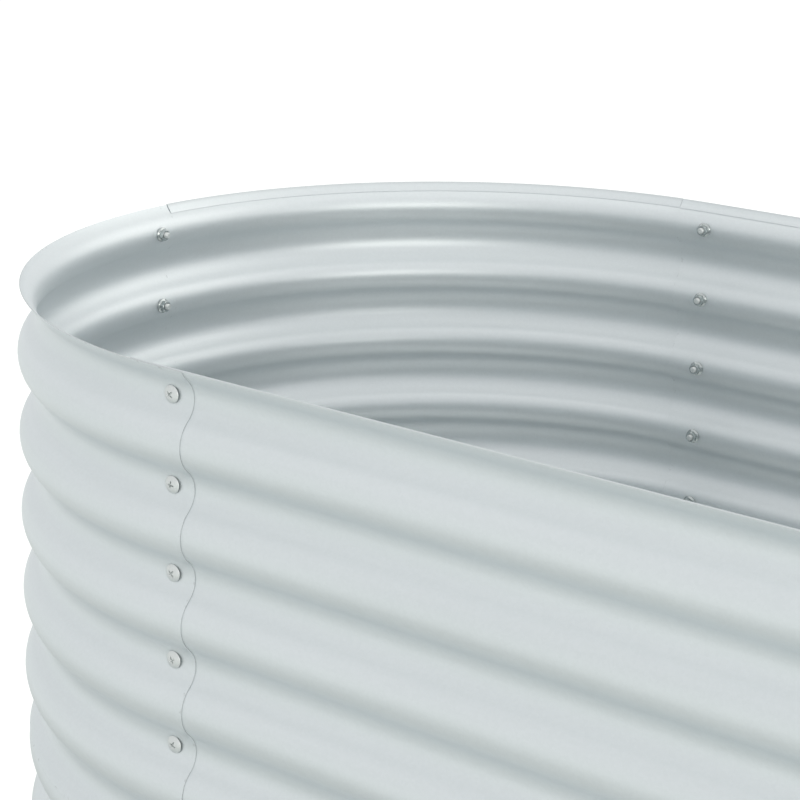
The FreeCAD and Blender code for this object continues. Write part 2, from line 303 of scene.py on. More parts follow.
# %% [markdown]
# ## Faces of a sheet
# The faces are listed as spans: pairs of rows that are joined from one station to the next. Skins
# and hem take the coated finish. The foot, a bare top edge and the two ends are cut, so the bare
# steel shows there, and their faces get the second finish. Where a hem stops, its end is closed.

# %% Faces of a sheet
SKIN, CUT_EDGE = 0, 1


def skin_run(low, high):
    """Spans up a skin, from one row to another."""
    return [(row, row + 1, SKIN) for row in range(low, high)]


def section_spans(section, hemmed):
    """Pairs of rows that faces join from one station to the next, each with its finish."""
    _, _, count, hem_count = section
    far, near = 2 * count, 2 * count + hem_count
    spans = skin_run(0, count - 1) + skin_run(count, 2 * count - 1) + [(0, count, CUT_EDGE)]
    if not hemmed:
        return spans + [(count - 1, 2 * count - 1, CUT_EDGE)]
    spans += [(count - 1, far, SKIN)] + skin_run(far, far + hem_count - 1)
    spans += [(2 * count - 1, near, SKIN)] + skin_run(near, near + hem_count - 1)
    return spans + [(far + hem_count - 1, near + hem_count - 1, SKIN)]


def closing_faces(base, pairs):
    """Faces across the metal at one station, between pairs of rows on its two sides."""
    return [(base + a, base + c, base + d, base + b) for (a, b), (c, d) in zip(pairs, pairs[1:])]


def sheet_faces(section, stations):
    """The faces of a sheet, and the finish of each."""
    rows, _, count, hem_count = section
    faces, kinds = [], []
    for index in range(len(stations) - 1):
        first, second = index * len(rows), (index + 1) * len(rows)
        for a, b, kind in section_spans(section, stations[index][3]):
            faces.append((first + a, first + b, second + b, second + a))
            kinds.append(kind)
    skin_pairs = [(row, count + row) for row in range(count)]
    hem_pairs = [skin_pairs[-1]] + [(2 * count + k, 2 * count + hem_count + k) for k in range(hem_count)]
    hemmed = [False] + [station[3] for station in stations[:-1]] + [False]
    for index in range(len(stations)):
        ends = []
        if index in (0, len(stations) - 1):
            ends.append((CUT_EDGE, skin_pairs))
        if hemmed[index] != hemmed[index + 1]:
            ends.append((SKIN, hem_pairs))
        for kind, pairs in ends:
            faces += closing_faces(index * len(rows), pairs)
            kinds += [kind] * (len(pairs) - 1)
    return faces, kinds


print("faces from one station to the next", len(section_spans(sheet_section(0, 0), True)))

# %% [markdown]
# ## From faces to a piece
# The lists become a mesh with its UV map and its edge number as an attribute. Blender's own
# face-turning tool makes all faces look outwards, and corners sharper than a set angle stay crisp.
# Each piece then rides on the bed's one body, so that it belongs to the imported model.

# %% A sheet as a piece
SHEET_CORNER = 30


def finished_piece(name, mesh, sharp_angle):
    """Turns a mesh into a piece: faces outwards, smooth shading, crisp corners, riding on the bed."""
    shell = bmesh.new()
    shell.from_mesh(mesh)
    bmesh.ops.recalc_face_normals(shell, faces=shell.faces)
    shell.to_mesh(mesh)
    shell.free()
    mesh.polygons.foreach_set("use_smooth", [True] * len(mesh.polygons))
    mesh.set_sharp_from_angle(angle=math.radians(sharp_angle))
    piece = bpy.data.objects.new(name, mesh)
    bpy.context.scene.collection.objects.link(piece)
    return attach(piece, "root")


def sheet_piece(name, ring, layer, corners, hemmed_legs, turned):
    """A panel as one closed mesh."""
    section = sheet_section(ring, layer)
    stations = path_steps(corners, hemmed_legs)
    points, flats, edges = sheet_points(section, stations, turned)
    faces, kinds = sheet_faces(section, stations)
    used = sorted({corner for face in faces for corner in face})
    renumber = {old: new for new, old in enumerate(used)}
    mesh = bpy.data.meshes.new(name)
    mesh.from_pydata([points[i] for i in used], [], [[renumber[i] for i in face] for face in faces])
    mesh.polygons.foreach_set("material_index", kinds)
    flat_map = mesh.uv_layers.new(name="unrolled")
    loops = np.zeros(len(mesh.loops), np.int32)
    mesh.loops.foreach_get("vertex_index", loops)
    flat_map.data.foreach_set("uv", np.array([flats[i] for i in used])[loops].ravel())
    edge_number = mesh.attributes.new("edge", "FLOAT", "POINT")
    edge_number.data.foreach_set("value", np.array([edges[i] for i in used], np.float32))
    return finished_piece(name, mesh, SHEET_CORNER)


print("corners stay crisp over", SHEET_CORNER, "degrees")

# %% [markdown]
# ## The twelve panels
# Each ring has a straight panel in front and behind, and four quarter panels. The ring looks the
# same after half a turn, so each path is drawn once for the front or left and once more turned.
# The straight panel is the innermost layer, one quarter lies over it, and the next quarter over
# both. The upper ring is slipped over the lower one, so its layers are counted on from there.

# %% Make the panels
panel_plans = [
    ("front_straight", "back_straight", 0, straight_path, [True, True, True]),
    ("front_left_quarter", "back_right_quarter", 1, inner_quarter_path, [False, False]),
    ("back_left_quarter", "front_right_quarter", 2, outer_quarter_path, [False, False, True, False]),
]
panels = []
for ring, ring_name in enumerate(("lower", "upper")):
    for plan_name, turned_name, layer, path, hemmed_legs in panel_plans:
        for turned, side_name in ((False, plan_name), (True, turned_name)):
            panel = sheet_piece(f"{ring_name}_{side_name}_sheet", ring,
                                ring * LAYERS_PER_RING + layer, path, hemmed_legs, turned)
            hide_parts(f"{ring_name}_{side_name}_panel")
            panels.append(panel)
print("panels", len(panels), "faces", sum(len(p.data.polygons) for p in panels))

# %% [markdown]
# ## The screw
# The screws have a low domed head with a cross recess. The recess could be cut with a Boolean, but
# a cross seen from its middle is a simple outline: at each angle it has one radius. So the whole
# screw is a stack of rings with the same number of points, from the threaded tip, over the head's
# rounded rim and dome, down the recess walls to the floor. The points of a ring lie a little
# closer together on the arms of the cross.

# %% Outlines of the screw
HEAD_RADIUS, HEAD_RIM, HEAD_DOME = 7.25 * MM, 0.4 * MM, 2.4 * MM
QUADRANT_DEGREES = (0, 6, 11, 19, 28, 37, 45, 53, 62, 71, 79, 84)
screw_turns = [math.radians(q * 90 + a) for q in range(4) for a in QUADRANT_DEGREES]


def round_ring(turns, x, radius):
    """A flat round ring about the X axis."""
    return [(x, radius * math.cos(turn), radius * math.sin(turn)) for turn in turns]


def cross_radius(turn, reach, half_width):
    """Radius of a cross outline at an angle."""
    c, s = abs(math.cos(turn)) + 1e-9, abs(math.sin(turn)) + 1e-9
    return max(min(reach / c, half_width / s), min(half_width / c, reach / s))


def cross_ring(x, reach, half_width):
    """A flat ring in the shape of the cross."""
    radii = [cross_radius(turn, reach, half_width) for turn in screw_turns]
    return [(x, r * math.cos(turn), r * math.sin(turn)) for r, turn in zip(radii, screw_turns)]


def dome_height(radius):
    """Height of the head's dome over the plane under the head."""
    sphere = (HEAD_RADIUS ** 2 + HEAD_DOME ** 2) / (2 * HEAD_DOME)
    return HEAD_RIM + HEAD_DOME - sphere + math.sqrt(sphere ** 2 - radius ** 2)


def dome_ring(radii, sink=0.0):
    """A ring that lies on the dome, or a little under it, with its own radius at each angle."""
    return [(dome_height(r) - sink, r * math.cos(t), r * math.sin(t))
            for r, t in zip(radii, screw_turns)]


print("points in a ring", len(screw_turns), "head height", round(dome_height(0) / MM, 2), "mm")

# %% [markdown]
# ## Thread and head
# The thread is made in the same rings, by letting the radius follow a saw-tooth that climbs as it
# goes round. Seven rings for each turn of the thread are enough to show its sloping flanks. The
# head comes after a plain stretch of shank, and its rim is rounded in a few steps.

# %% Rings of the screw
THREAD_RADIUS, THREAD_PITCH, THREAD_DEPTH, TIP_CHAMFER = 3.0 * MM, 1.0 * MM, 0.55 * MM, 0.8 * MM
THREAD_TURNS, RINGS_PER_TURN, PLAIN_SHANK = 5, 7, 6.0 * MM
RIM_ROUNDING = ((0, 6.95), (0.06, 7.16), (0.16, 7.24), (0.34, 7.24))
DOME_RADII = (7.14, 6.7, 6.0, 5.2, 4.4)
RECESS_MOUTH, RECESS_LIP, LIP_SINK = (3.32 * MM, 0.8 * MM), (3.2 * MM, 0.7 * MM), 0.1 * MM
RECESS_WALLS = ((1.85, 2.7, 0.62), (1.2, 2.0, 0.56), (0.75, 1.45, 0.5))


def thread_ring(x, tip):
    """A ring of the thread, with the chamfer of the tip."""
    ring = []
    for turn in screw_turns:
        phase = (x / THREAD_PITCH + turn / (2 * math.pi)) % 1.0
        cut = THREAD_DEPTH * min(1.0, max(0.0, 1.25 - 2.5 * abs(phase - 0.5)))
        radius = min(THREAD_RADIUS - cut, THREAD_RADIUS - TIP_CHAMFER + (x - tip))
        ring.append((x, radius * math.cos(turn), radius * math.sin(turn)))
    return ring


def screw_rings(shank):
    """The rings of a screw along X, head towards +X, with the plane under its head at zero."""
    tip, steps = -shank, THREAD_TURNS * RINGS_PER_TURN
    rings = [round_ring(screw_turns, tip, THREAD_RADIUS - TIP_CHAMFER)]
    rings += [thread_ring(tip + step * THREAD_PITCH / RINGS_PER_TURN, tip)
              for step in range(1, steps + 1)]
    rings += [round_ring(screw_turns, x, THREAD_RADIUS) for x in (-PLAIN_SHANK, 0)]
    rings += [round_ring(screw_turns, x * MM, r * MM) for x, r in RIM_ROUNDING]
    rings += [dome_ring([r * MM] * len(screw_turns)) for r in DOME_RADII]
    mouth = [cross_radius(turn, *RECESS_MOUTH) for turn in screw_turns]
    rings.append(dome_ring([0.5 * (r + DOME_RADII[-1] * MM) for r in mouth]))
    rings.append(dome_ring(mouth))
    rings.append(dome_ring([cross_radius(turn, *RECESS_LIP) for turn in screw_turns], LIP_SINK))
    rings += [cross_ring(x * MM, reach * MM, half * MM) for x, reach, half in RECESS_WALLS]
    return rings


print("rings of a screw", len(screw_rings(2 * PLAIN_SHANK)))

# %% [markdown]
# ## The flange nut
# The nuts sit on the inside of the wall. Each is a hexagon that grows out of a round flange, with
# its corners turned off at the free end. The same trick of rings works again: the radius at each
# angle is that of the hexagon with its corners a little rounded, and the ring itself rises and
# falls where the hexagon meets the flange's cone and the chamfer.

# %% Rings of the nut
NUT_HEIGHT, NUT_FLAT, NUT_CORNER, NUT_CHAMFER = 6.0 * MM, 5.0 * MM, 5.7 * MM, 0.8 * MM
NUT_FACE, NUT_BORE, BORE_MOUTH, BORE_CHAMFER = 4.75 * MM, 3.05 * MM, 3.5 * MM, 0.45 * MM
FLANGE_RADIUS, FLANGE_FACE, FLANGE_HEIGHT, CONE_RISE = 7.1 * MM, 6.9 * MM, 1.0 * MM, 0.9 * MM
FLANGE_RIM = (0.1 * MM, 0.8 * MM)
nut_turns = [math.radians(5 * step) for step in range(72)]


def hexagon_radius(turn):
    """Radius of the hexagon at an angle."""
    from_flat = (turn + math.pi / 6) % (math.pi / 3) - math.pi / 6
    return min(NUT_FLAT / math.cos(from_flat), NUT_CORNER)


def nut_rings():
    """The rings of a nut along X, with its flange's face at zero and its body towards -X."""
    seat, chamfer = [], []
    for turn in nut_turns:
        radius = hexagon_radius(turn)
        around = (radius * math.cos(turn), radius * math.sin(turn))
        cone = CONE_RISE * (FLANGE_FACE - radius) / (FLANGE_FACE - NUT_FLAT)
        seat.append((-FLANGE_HEIGHT - cone, *around))
        share = (NUT_CORNER - radius) / (NUT_CORNER - NUT_FLAT)
        chamfer.append((-NUT_HEIGHT + NUT_CHAMFER * (1 - share), *around))
    flange = [(-BORE_CHAMFER, NUT_BORE), (0, BORE_MOUTH), (0, FLANGE_FACE)]
    flange += [(-depth, FLANGE_RADIUS) for depth in FLANGE_RIM] + [(-FLANGE_HEIGHT, FLANGE_FACE)]
    free_end = [(-NUT_HEIGHT, NUT_FACE), (-NUT_HEIGHT, BORE_MOUTH)]
    free_end += [(-NUT_HEIGHT + BORE_CHAMFER, NUT_BORE)]
    rings = [round_ring(nut_turns, x, radius) for x, radius in flange] + [seat, chamfer]
    return rings + [round_ring(nut_turns, x, radius) for x, radius in free_end]


print("rings of a nut", len(nut_rings()), "across flats", round(2 * NUT_FLAT / MM, 1), "mm")

# %% [markdown]
# ## Seats and seams
# Screws stand in the wave's valleys, one above the other, on six seams. A head rests on the sides
# of its valley, so its height over the sheet follows from the bend's radius, and the nut's flange
# just clears the curve of the wall. The valley where the two rings lap has screws that hold both.

# %% Seats and seams
SEAT_GAP, TIP_PAST_NUT = 0.05 * MM, 0.7 * MM
seams = [
    ("front_left", -END_CENTRE, FRONT, 0, 1), ("left_end", -END_CENTRE, LEFT, 1, 2),
    ("back_left", -END_CENTRE, BACK, 0, 2), ("back_right", END_CENTRE, BACK, 0, 1),
    ("right_end", END_CENTRE, RIGHT, 1, 2), ("front_right", END_CENTRE, FRONT, 0, 2),
]
bolt_rows = [("lower", range(0, 5), 0, 0), ("lap", range(5, 6), 0, 1), ("upper", range(6, 11), 1, 1)]


def hollow(radius, half_chord):
    """How deep a round hollow is under a disc that spans it."""
    return radius - math.sqrt(radius ** 2 - half_chord ** 2)


def head_seat(layer):
    """Radius of the plane under a head that rests on a layer."""
    offset = layer * LAYER_STEP + THICKNESS
    return VALLEY_RADIUS + offset + hollow(BEND_RADIUS - offset, HEAD_RADIUS) + SEAT_GAP


def nut_seat(layer):
    """Radius of the flange's face of a nut inside a layer."""
    face = VALLEY_RADIUS + layer * LAYER_STEP
    return face - hollow(face, FLANGE_RADIUS) - SEAT_GAP


shank = head_seat(OUTERMOST_LAYER) - nut_seat(0) + NUT_HEIGHT + TIP_PAST_NUT
print("screw length under the head", round(shank / MM, 2), "mm")

# %% [markdown]
# ## Rings become screws and nuts
# One function turns a stack of rings into a piece that repeats it at every place of a seam. A nut's
# last ring joins its first one through the bore. A screw is closed at its tip and in its recess by
# a fan of triangles.

# %% Piece from rings
BOLT_CORNER = 28


def joined_rings(base, first, second, count):
    """Four-sided faces between two rings of a stack."""
    a, b = base + first * count, base + second * count
    return [(a + step, b + step, b + (step + 1) % count, a + (step + 1) % count)
            for step in range(count)]


def ring_piece(name, rings, closed, places):
    """A piece that repeats a stack of rings at each place on the wall."""
    count = len(rings[0])
    shape = np.array([point for ring in rings for point in ring])
    points, faces = [], []
    for centre_x, azimuth, height, seat, spin in places:
        base = len(points)
        stand = Matrix.Translation((centre_x, 0, height))
        stand = stand @ Matrix.Rotation(math.radians(azimuth), 4, "Z")
        stand = stand @ Matrix.Translation((seat, 0, 0)) @ Matrix.Rotation(spin, 4, "X")
        points += [tuple(stand @ Vector(point)) for point in shape]
        for index in range(len(rings) - 1):
            faces += joined_rings(base, index, index + 1, count)
        if closed:
            faces += joined_rings(base, len(rings) - 1, 0, count)
            continue
        for index in (0, len(rings) - 1):
            first = base + index * count
            middle = sum((Vector(points[first + step]) for step in range(count)), Vector()) / count
            points.append(tuple(middle))
            faces += [(first + step, first + (step + 1) % count, len(points) - 1)
                      for step in range(count)]
    mesh = bpy.data.meshes.new(name)
    mesh.from_pydata(points, [], faces)
    return finished_piece(name, mesh, BOLT_CORNER)


print("faces of a nut", len(nut_rings()) * len(nut_turns))

# %% [markdown]
# ## Setting the fasteners
# No fitter stops every screw at the same angle, so each screw and nut is turned by its own amount.
# The amounts are random but seeded, so every run gives the same bed.

# %% Make the screws and nuts
spins = random.Random(7)
fasteners = {"screws": [], "nuts": []}
for seam_name, centre_x, azimuth, inner_layer, outer_layer in seams:
    for row_name, valleys, inner_ring, outer_ring in bolt_rows:
        outside = head_seat(outer_ring * LAYERS_PER_RING + outer_layer)
        inside = nut_seat(inner_ring * LAYERS_PER_RING + inner_layer)
        for kind, seat in (("screws", outside), ("nuts", inside)):
            places = [(centre_x, azimuth, EDGE_MARGIN + valley * WAVE_PITCH, seat,
                       spins.uniform(0, 2 * math.pi)) for valley in valleys]
            rings = screw_rings(shank) if kind == "screws" else nut_rings()
            piece = ring_piece(f"{seam_name}_{row_name}_{kind}_set", rings, kind == "nuts", places)
            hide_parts(f"{seam_name}_{row_name}_{kind}")
            fasteners[kind].append(piece)
print("screw sets", len(fasteners["screws"]), "nut sets", len(fasteners["nuts"]),
      "faces", sum(len(p.data.polygons) for kind in fasteners.values() for p in kind))

# %% [markdown]
# ## Effects that the finishes share
# A finish is built from a few small effects, each a node group with named sockets: fine grain in
# the metal, faint lines left by the rollers, a slow swell that bends reflections, and wear along
# the edges. A group is built once and placed in each material with its own values.

# %% Helpers for node groups


def new_group(name, inputs, outputs):
    """An empty node group. Inputs and outputs are (name, type, default)."""
    group = bpy.data.node_groups.new(name, "ShaderNodeTree")
    for label, kind, value in inputs:
        socket = group.interface.new_socket(name=label, in_out="INPUT", socket_type=kind)
        if value is not None:
            socket.default_value = value
    for label, kind in outputs:
        group.interface.new_socket(name=label, in_out="OUTPUT", socket_type=kind)
    start = group.nodes.new("NodeGroupInput")
    end = group.nodes.new("NodeGroupOutput")
    return group, start, end


def node(tree, kind, links=None, **settings):
    """A node with its properties set and its inputs linked or filled, by socket name or number."""
    made = tree.nodes.new(kind)
    for key, value in settings.items():
        setattr(made, key, value)
    for key, value in (links or {}).items():
        if isinstance(value, bpy.types.NodeSocket):
            tree.links.new(value, made.inputs[key])
        else:
            made.inputs[key].default_value = value
    return made


def maths(tree, operation, a, b=0.0, c=0.0, clamp=False):
    """A Math node's result."""
    made = node(tree, "ShaderNodeMath", {0: a, 1: b, 2: c}, operation=operation, use_clamp=clamp)
    return made.outputs[0]


def spread(tree, value, low, high, to_low=0.0, to_high=1.0):
    """A value remapped from one range to another, and held within it."""
    made = node(tree, "ShaderNodeMapRange", {"Value": value, "From Min": low, "From Max": high,
                                              "To Min": to_low, "To Max": to_high})
    return made.outputs["Result"]


print("helpers ready, node groups so far", len(bpy.data.node_groups))

# %% [markdown]
# ### Grain
# A zinc and aluminium coating freezes in tiny crystals. From a step away they are only a soft
# mottle, so the group mixes small cells with a finer noise and gives a shade and a height.

# %% Grain group
grain, start, end = new_group(
    "metal_grain",
    [("Place", "NodeSocketVector", None), ("Cells per metre", "NodeSocketFloat", 400.0)],
    [("Shade", "NodeSocketFloat"), ("Height", "NodeSocketFloat")])
cells = node(grain, "ShaderNodeTexVoronoi", {"Vector": start.outputs["Place"],
                                              "Scale": start.outputs["Cells per metre"]})
finer = maths(grain, "MULTIPLY", start.outputs["Cells per metre"], 2.3)
speck = node(grain, "ShaderNodeTexNoise", {"Vector": start.outputs["Place"], "Scale": finer,
                                            "Detail": 3.0})
tone = node(grain, "ShaderNodeSeparateColor", {0: cells.outputs["Color"]})
softer = maths(grain, "MULTIPLY", speck.outputs[0], 0.45)
grain.links.new(maths(grain, "MULTIPLY_ADD", tone.outputs[0], 0.55, softer), end.inputs["Shade"])
grain.links.new(speck.outputs[0], end.inputs["Height"])
print("group", grain.name, [s.name for s in grain.interface.items_tree])

# %% [markdown]
# ### Roller lines
# The rollers that press the wave leave faint lines that run the length of the sheet. They are a
# noise on the unrolled sheet that is drawn out a few hundred times in one direction.

# %% Roller line group
roller, start, end = new_group(
    "roller_lines",
    [("Unrolled", "NodeSocketVector", None), ("Lines per metre", "NodeSocketFloat", 300.0),
     ("Streaks per metre", "NodeSocketFloat", 1.2)],
    [("Lines", "NodeSocketFloat"), ("Streaks", "NodeSocketFloat")])
flat = node(roller, "ShaderNodeSeparateXYZ", {0: start.outputs["Unrolled"]})
along = maths(roller, "MULTIPLY", flat.outputs[0], start.outputs["Streaks per metre"])
across = maths(roller, "MULTIPLY", flat.outputs[1], start.outputs["Lines per metre"])
drawn = node(roller, "ShaderNodeCombineXYZ", {0: along, 1: across})
lines = node(roller, "ShaderNodeTexNoise", {"Vector": drawn.outputs[0], "Scale": 1.0, "Detail": 3.0})
broad = node(roller, "ShaderNodeCombineXYZ", {0: along, 1: maths(roller, "MULTIPLY", across, 0.09)})
streaks = node(roller, "ShaderNodeTexNoise", {"Vector": broad.outputs[0], "Scale": 1.0, "Detail": 2.0})
roller.links.new(spread(roller, lines.outputs[0], 0.3, 0.7), end.inputs["Lines"])
roller.links.new(spread(roller, streaks.outputs[0], 0.3, 0.7), end.inputs["Streaks"])
print("group", roller.name, [s.name for s in roller.interface.items_tree])

# %% [markdown]
# ### Swell
# Thin sheet is never quite true between its bends. The error is far too small to see as shape,
# but a long highlight wanders and swells because of it. A slow noise, given as a height for a
# Bump node, does the same.

# %% Swell group
swell, start, end = new_group(
    "sheet_swell",
    [("Unrolled", "NodeSocketVector", None), ("Swells per metre", "NodeSocketFloat", 5.0)],
    [("Height", "NodeSocketFloat")])
slow = node(swell, "ShaderNodeTexNoise", {"Vector": start.outputs["Unrolled"],
                                           "Scale": start.outputs["Swells per metre"], "Detail": 1.0})
swell.links.new(slow.outputs[0], end.inputs["Height"])
print("group", swell.name, [s.name for s in swell.interface.items_tree])

# %% [markdown]
# ### Wear
# Sheets are stacked, carried and slid over one another, so their edges get small scuffs. The mask
# is the edge number that each sheet carries, broken up with noise.

# %% Wear group
wear, start, end = new_group(
    "edge_wear",
    [("Place", "NodeSocketVector", None), ("Edge", "NodeSocketFloat", 0.0),
     ("Scuffs per metre", "NodeSocketFloat", 160.0), ("Amount", "NodeSocketFloat", 0.5)],
    [("Mask", "NodeSocketFloat")])
patches = node(wear, "ShaderNodeTexNoise", {"Vector": start.outputs["Place"],
                                             "Scale": start.outputs["Scuffs per metre"],
                                             "Detail": 4.0, "Roughness": 0.65})
reach = maths(wear, "MULTIPLY", start.outputs["Edge"], start.outputs["Amount"])
limit = maths(wear, "SUBTRACT", 0.82, maths(wear, "MULTIPLY", reach, 0.5))
mask = spread(wear, maths(wear, "SUBTRACT", patches.outputs[0], limit), 0.0, 0.1)
wear.links.new(mask, end.inputs["Mask"])
print("group", wear.name, [s.name for s in wear.interface.items_tree])

# %% [markdown]
# ## The finishes
# Each finish is one Principled shader whose inputs come from the effects. A few small helpers open
# a material, place an effect, blend two colours, bend the normal, and close the material.

# %% Helpers for materials


def blend(tree, factor, a, b):
    """A colour between two, by a factor."""
    made = node(tree, "ShaderNodeMix", {"Factor": factor, "A": a, "B": b}, data_type="RGBA")
    return made.outputs["Result"]


def bump(tree, height, strength, distance, under=None):
    """A normal bent by a height from nought to a distance, on top of another normal if given."""
    links = {"Height": height, "Strength": strength, "Distance": distance}
    if under is not None:
        links["Normal"] = under
    return node(tree, "ShaderNodeBump", links).outputs["Normal"]


def effect(tree, group, links):
    """An effect placed in a tree with its own values."""
    return node(tree, "ShaderNodeGroup", links, node_tree=group).outputs


def new_material(name):
    """An empty material and its tree."""
    material = bpy.data.materials.new(name)
    material.use_nodes = True
    tree = material.node_tree
    tree.nodes.clear()
    return material, tree


def close_material(tree, shader):
    """Links a shader to the surface of its material."""
    surface = node(tree, "ShaderNodeOutputMaterial").inputs["Surface"]
    tree.links.new(shader.outputs[0], surface)


print("materials so far", len(bpy.data.materials))

# %% [markdown]
# ### The coated sheet
# The sheet is pale, a little cool, and satin: it blurs what it mirrors into soft bands along the
# wave. A plain grey paint would show no bands and a mirror would show them too sharply, so this is
# mostly metal with a middling roughness. Grain and streaks change its tone slightly, and scuffs are
# darker and rougher. The fold of a hem is rougher too, and darker by painted shade that dims its
# bright line. Three bumps are stacked: the slow swell, the rollers' lines and the fine crystals.

# %% Coated sheet
SHEET_DARK, SHEET_LIGHT = (0.636, 0.683, 0.699, 1), (0.708, 0.752, 0.772, 1)
# The worn tone serves the scuffs and also the painted shade on the fold of a hem.
WEAR_AND_FOLD_SHADE_TONE = (0.50, 0.53, 0.54, 1)
coated_sheet, tree = new_material("coated_sheet_satin")
unrolled = node(tree, "ShaderNodeUVMap", uv_map="unrolled").outputs[0]
coords = node(tree, "ShaderNodeTexCoord").outputs["Object"]
edge = node(tree, "ShaderNodeAttribute", attribute_name="edge").outputs["Fac"]
folded = spread(tree, edge, 0.0, ON_FOLD)
crystals = effect(tree, grain, {"Place": coords, "Cells per metre": 420.0})
rolled = effect(tree, roller, {"Unrolled": unrolled, "Lines per metre": 420.0, "Streaks per metre": 1.4})
swelling = effect(tree, swell, {"Unrolled": unrolled, "Swells per metre": 6.0})
scuffs = effect(tree, wear, {"Place": coords, "Edge": edge, "Amount": 0.55})

mottle = maths(tree, "MULTIPLY", rolled["Streaks"], 0.5)
mottle = maths(tree, "MULTIPLY_ADD", crystals["Shade"], 0.5, mottle)
# Scuffs are real wear; the fold's share is painted shade that dims the fold's bright line.
wear_and_fold_shade = maths(tree, "MULTIPLY", scuffs["Mask"], 0.5)
wear_and_fold_shade = maths(tree, "MULTIPLY_ADD", folded, 0.35, wear_and_fold_shade, clamp=True)
sheet_colour = blend(tree, wear_and_fold_shade, blend(tree, mottle, SHEET_DARK, SHEET_LIGHT), WEAR_AND_FOLD_SHADE_TONE)
roughness = maths(tree, "MULTIPLY_ADD", rolled["Lines"], 0.05, 0.39)
for value, share in ((crystals["Shade"], 0.06), (scuffs["Mask"], 0.15), (folded, 0.15)):
    roughness = maths(tree, "MULTIPLY_ADD", value, share, roughness)
swell_normal = bump(tree, swelling["Height"], 0.5, 0.0012)
line_normal = bump(tree, rolled["Lines"], 0.25, 0.00002, swell_normal)
sheet_normal = bump(tree, crystals["Height"], 0.5, 0.00012, line_normal)
close_material(tree, node(tree, "ShaderNodeBsdfPrincipled", {
    "Base Color": sheet_colour, "Roughness": roughness, "Normal": sheet_normal, "Metallic": 0.7,
    "IOR": 1.5}))
print("nodes in the coated sheet", len(tree.nodes))

# %% [markdown]
# ### The cut edge
# The guillotine leaves the sheet's edges bare. They show grey steel with a fine grain, and are
# rougher and darker than the coated faces.

# %% Cut edge
cut_edge, tree = new_material("sheet_cut_edge")
coords = node(tree, "ShaderNodeTexCoord").outputs["Object"]
sheared = effect(tree, grain, {"Place": coords, "Cells per metre": 1800.0})
close_material(tree, node(tree, "ShaderNodeBsdfPrincipled", {
    "Base Color": blend(tree, sheared["Shade"], (0.48, 0.51, 0.52, 1), (0.64, 0.67, 0.68, 1)),
    "Roughness": spread(tree, sheared["Shade"], 0.2, 0.8, 0.42, 0.6), "Metallic": 0.6,
    "Normal": bump(tree, sheared["Height"], 0.4, 0.00003)}))
for panel in panels:
    panel.data.materials.append(coated_sheet)
    panel.data.materials.append(cut_edge)
print("finishes on a panel", [m.name for m in panels[0].data.materials])

# %% [markdown]
# ### Screws and nuts
# Both look zinc plated. The screws' heads are satin and about as pale as the wall. The nuts are
# greyer and shinier, so they mirror the darker hollows round them. One function makes both, from
# two tones, two roughnesses and how metallic the plating looks. The cross recess needs no dark
# tone of its own, because it shades itself.

# %% Plated steel


def plated(name, dark, light, rough_low, rough_high, metallic):
    """A plated finish between two tones."""
    material, tree = new_material(name)
    coords = node(tree, "ShaderNodeTexCoord").outputs["Object"]
    plate = effect(tree, grain, {"Place": coords, "Cells per metre": 1500.0})
    cloud = node(tree, "ShaderNodeTexNoise", {"Vector": coords, "Scale": 260.0, "Detail": 2.0})
    tone = maths(tree, "MULTIPLY", cloud.outputs[0], 0.5)
    tone = maths(tree, "MULTIPLY_ADD", plate["Shade"], 0.5, tone)
    close_material(tree, node(tree, "ShaderNodeBsdfPrincipled", {
        "Base Color": blend(tree, tone, dark, light),
        "Roughness": spread(tree, tone, 0.25, 0.75, rough_low, rough_high),
        "Metallic": metallic, "Normal": bump(tree, plate["Height"], 0.3, 0.00003)}))
    return material


screw_finish = plated("plated_screw", (0.60, 0.635, 0.635, 1), (0.72, 0.745, 0.74, 1), 0.38, 0.5, 0.7)
nut_finish = plated("plated_nut", (0.38, 0.42, 0.42, 1), (0.58, 0.62, 0.62, 1), 0.16, 0.3, 0.95)
for kind, finish in (("screws", screw_finish), ("nuts", nut_finish)):
    for piece in fasteners[kind]:
        piece.data.materials.append(finish)
print("materials", [m.name for m in (coated_sheet, cut_edge, screw_finish, nut_finish)])

# %% [markdown]
# ## The studio
# The bed stands on a plain pale floor in a white studio, and the floor takes its shadow. A floor
# with nothing added would look grey against the white behind it, so where the camera sees it, it
# also glows a little. Surfaces that mirror it see another glow, which is a painted reflection: inside
# the bed along its middle line, where it lightens the wave's dark bands, and far away, where it
# stands for the floor of a bright room. The floor near the foot of the wall stays dim to them, and
# draws the dark bands of the wave.

# %% Floor
FLOOR_REACH, FLOOR_DROP = 30, 0.0006
CAMERA_GLOW, INSIDE_PAINTED_REFLECTION, FAR_PAINTED_REFLECTION = 0.38, 0.4, 0.28
floor_corners = [(x * FLOOR_REACH, y * FLOOR_REACH, -FLOOR_DROP)
                 for x, y in ((-1, -1), (1, -1), (1, 1), (-1, 1))]
floor_mesh = bpy.data.meshes.new("studio_floor")
floor_mesh.from_pydata(floor_corners, [], [(0, 1, 2, 3)])
floor = bpy.data.objects.new("studio_floor", floor_mesh)
bpy.context.scene.collection.objects.link(floor)

floor_finish, tree = new_material("studio_floor_white")
ray = node(tree, "ShaderNodeLightPath")
ground = node(tree, "ShaderNodeSeparateXYZ", {0: node(tree, "ShaderNodeTexCoord").outputs["Object"]})
past_end = maths(tree, "SUBTRACT", maths(tree, "ABSOLUTE", ground.outputs["X"]), END_CENTRE)
past_end = maths(tree, "MAXIMUM", 0.0, past_end)
squares = maths(tree, "MULTIPLY", ground.outputs["Y"], ground.outputs["Y"])
distance = maths(tree, "SQRT", maths(tree, "MULTIPLY_ADD", past_end, past_end, squares))
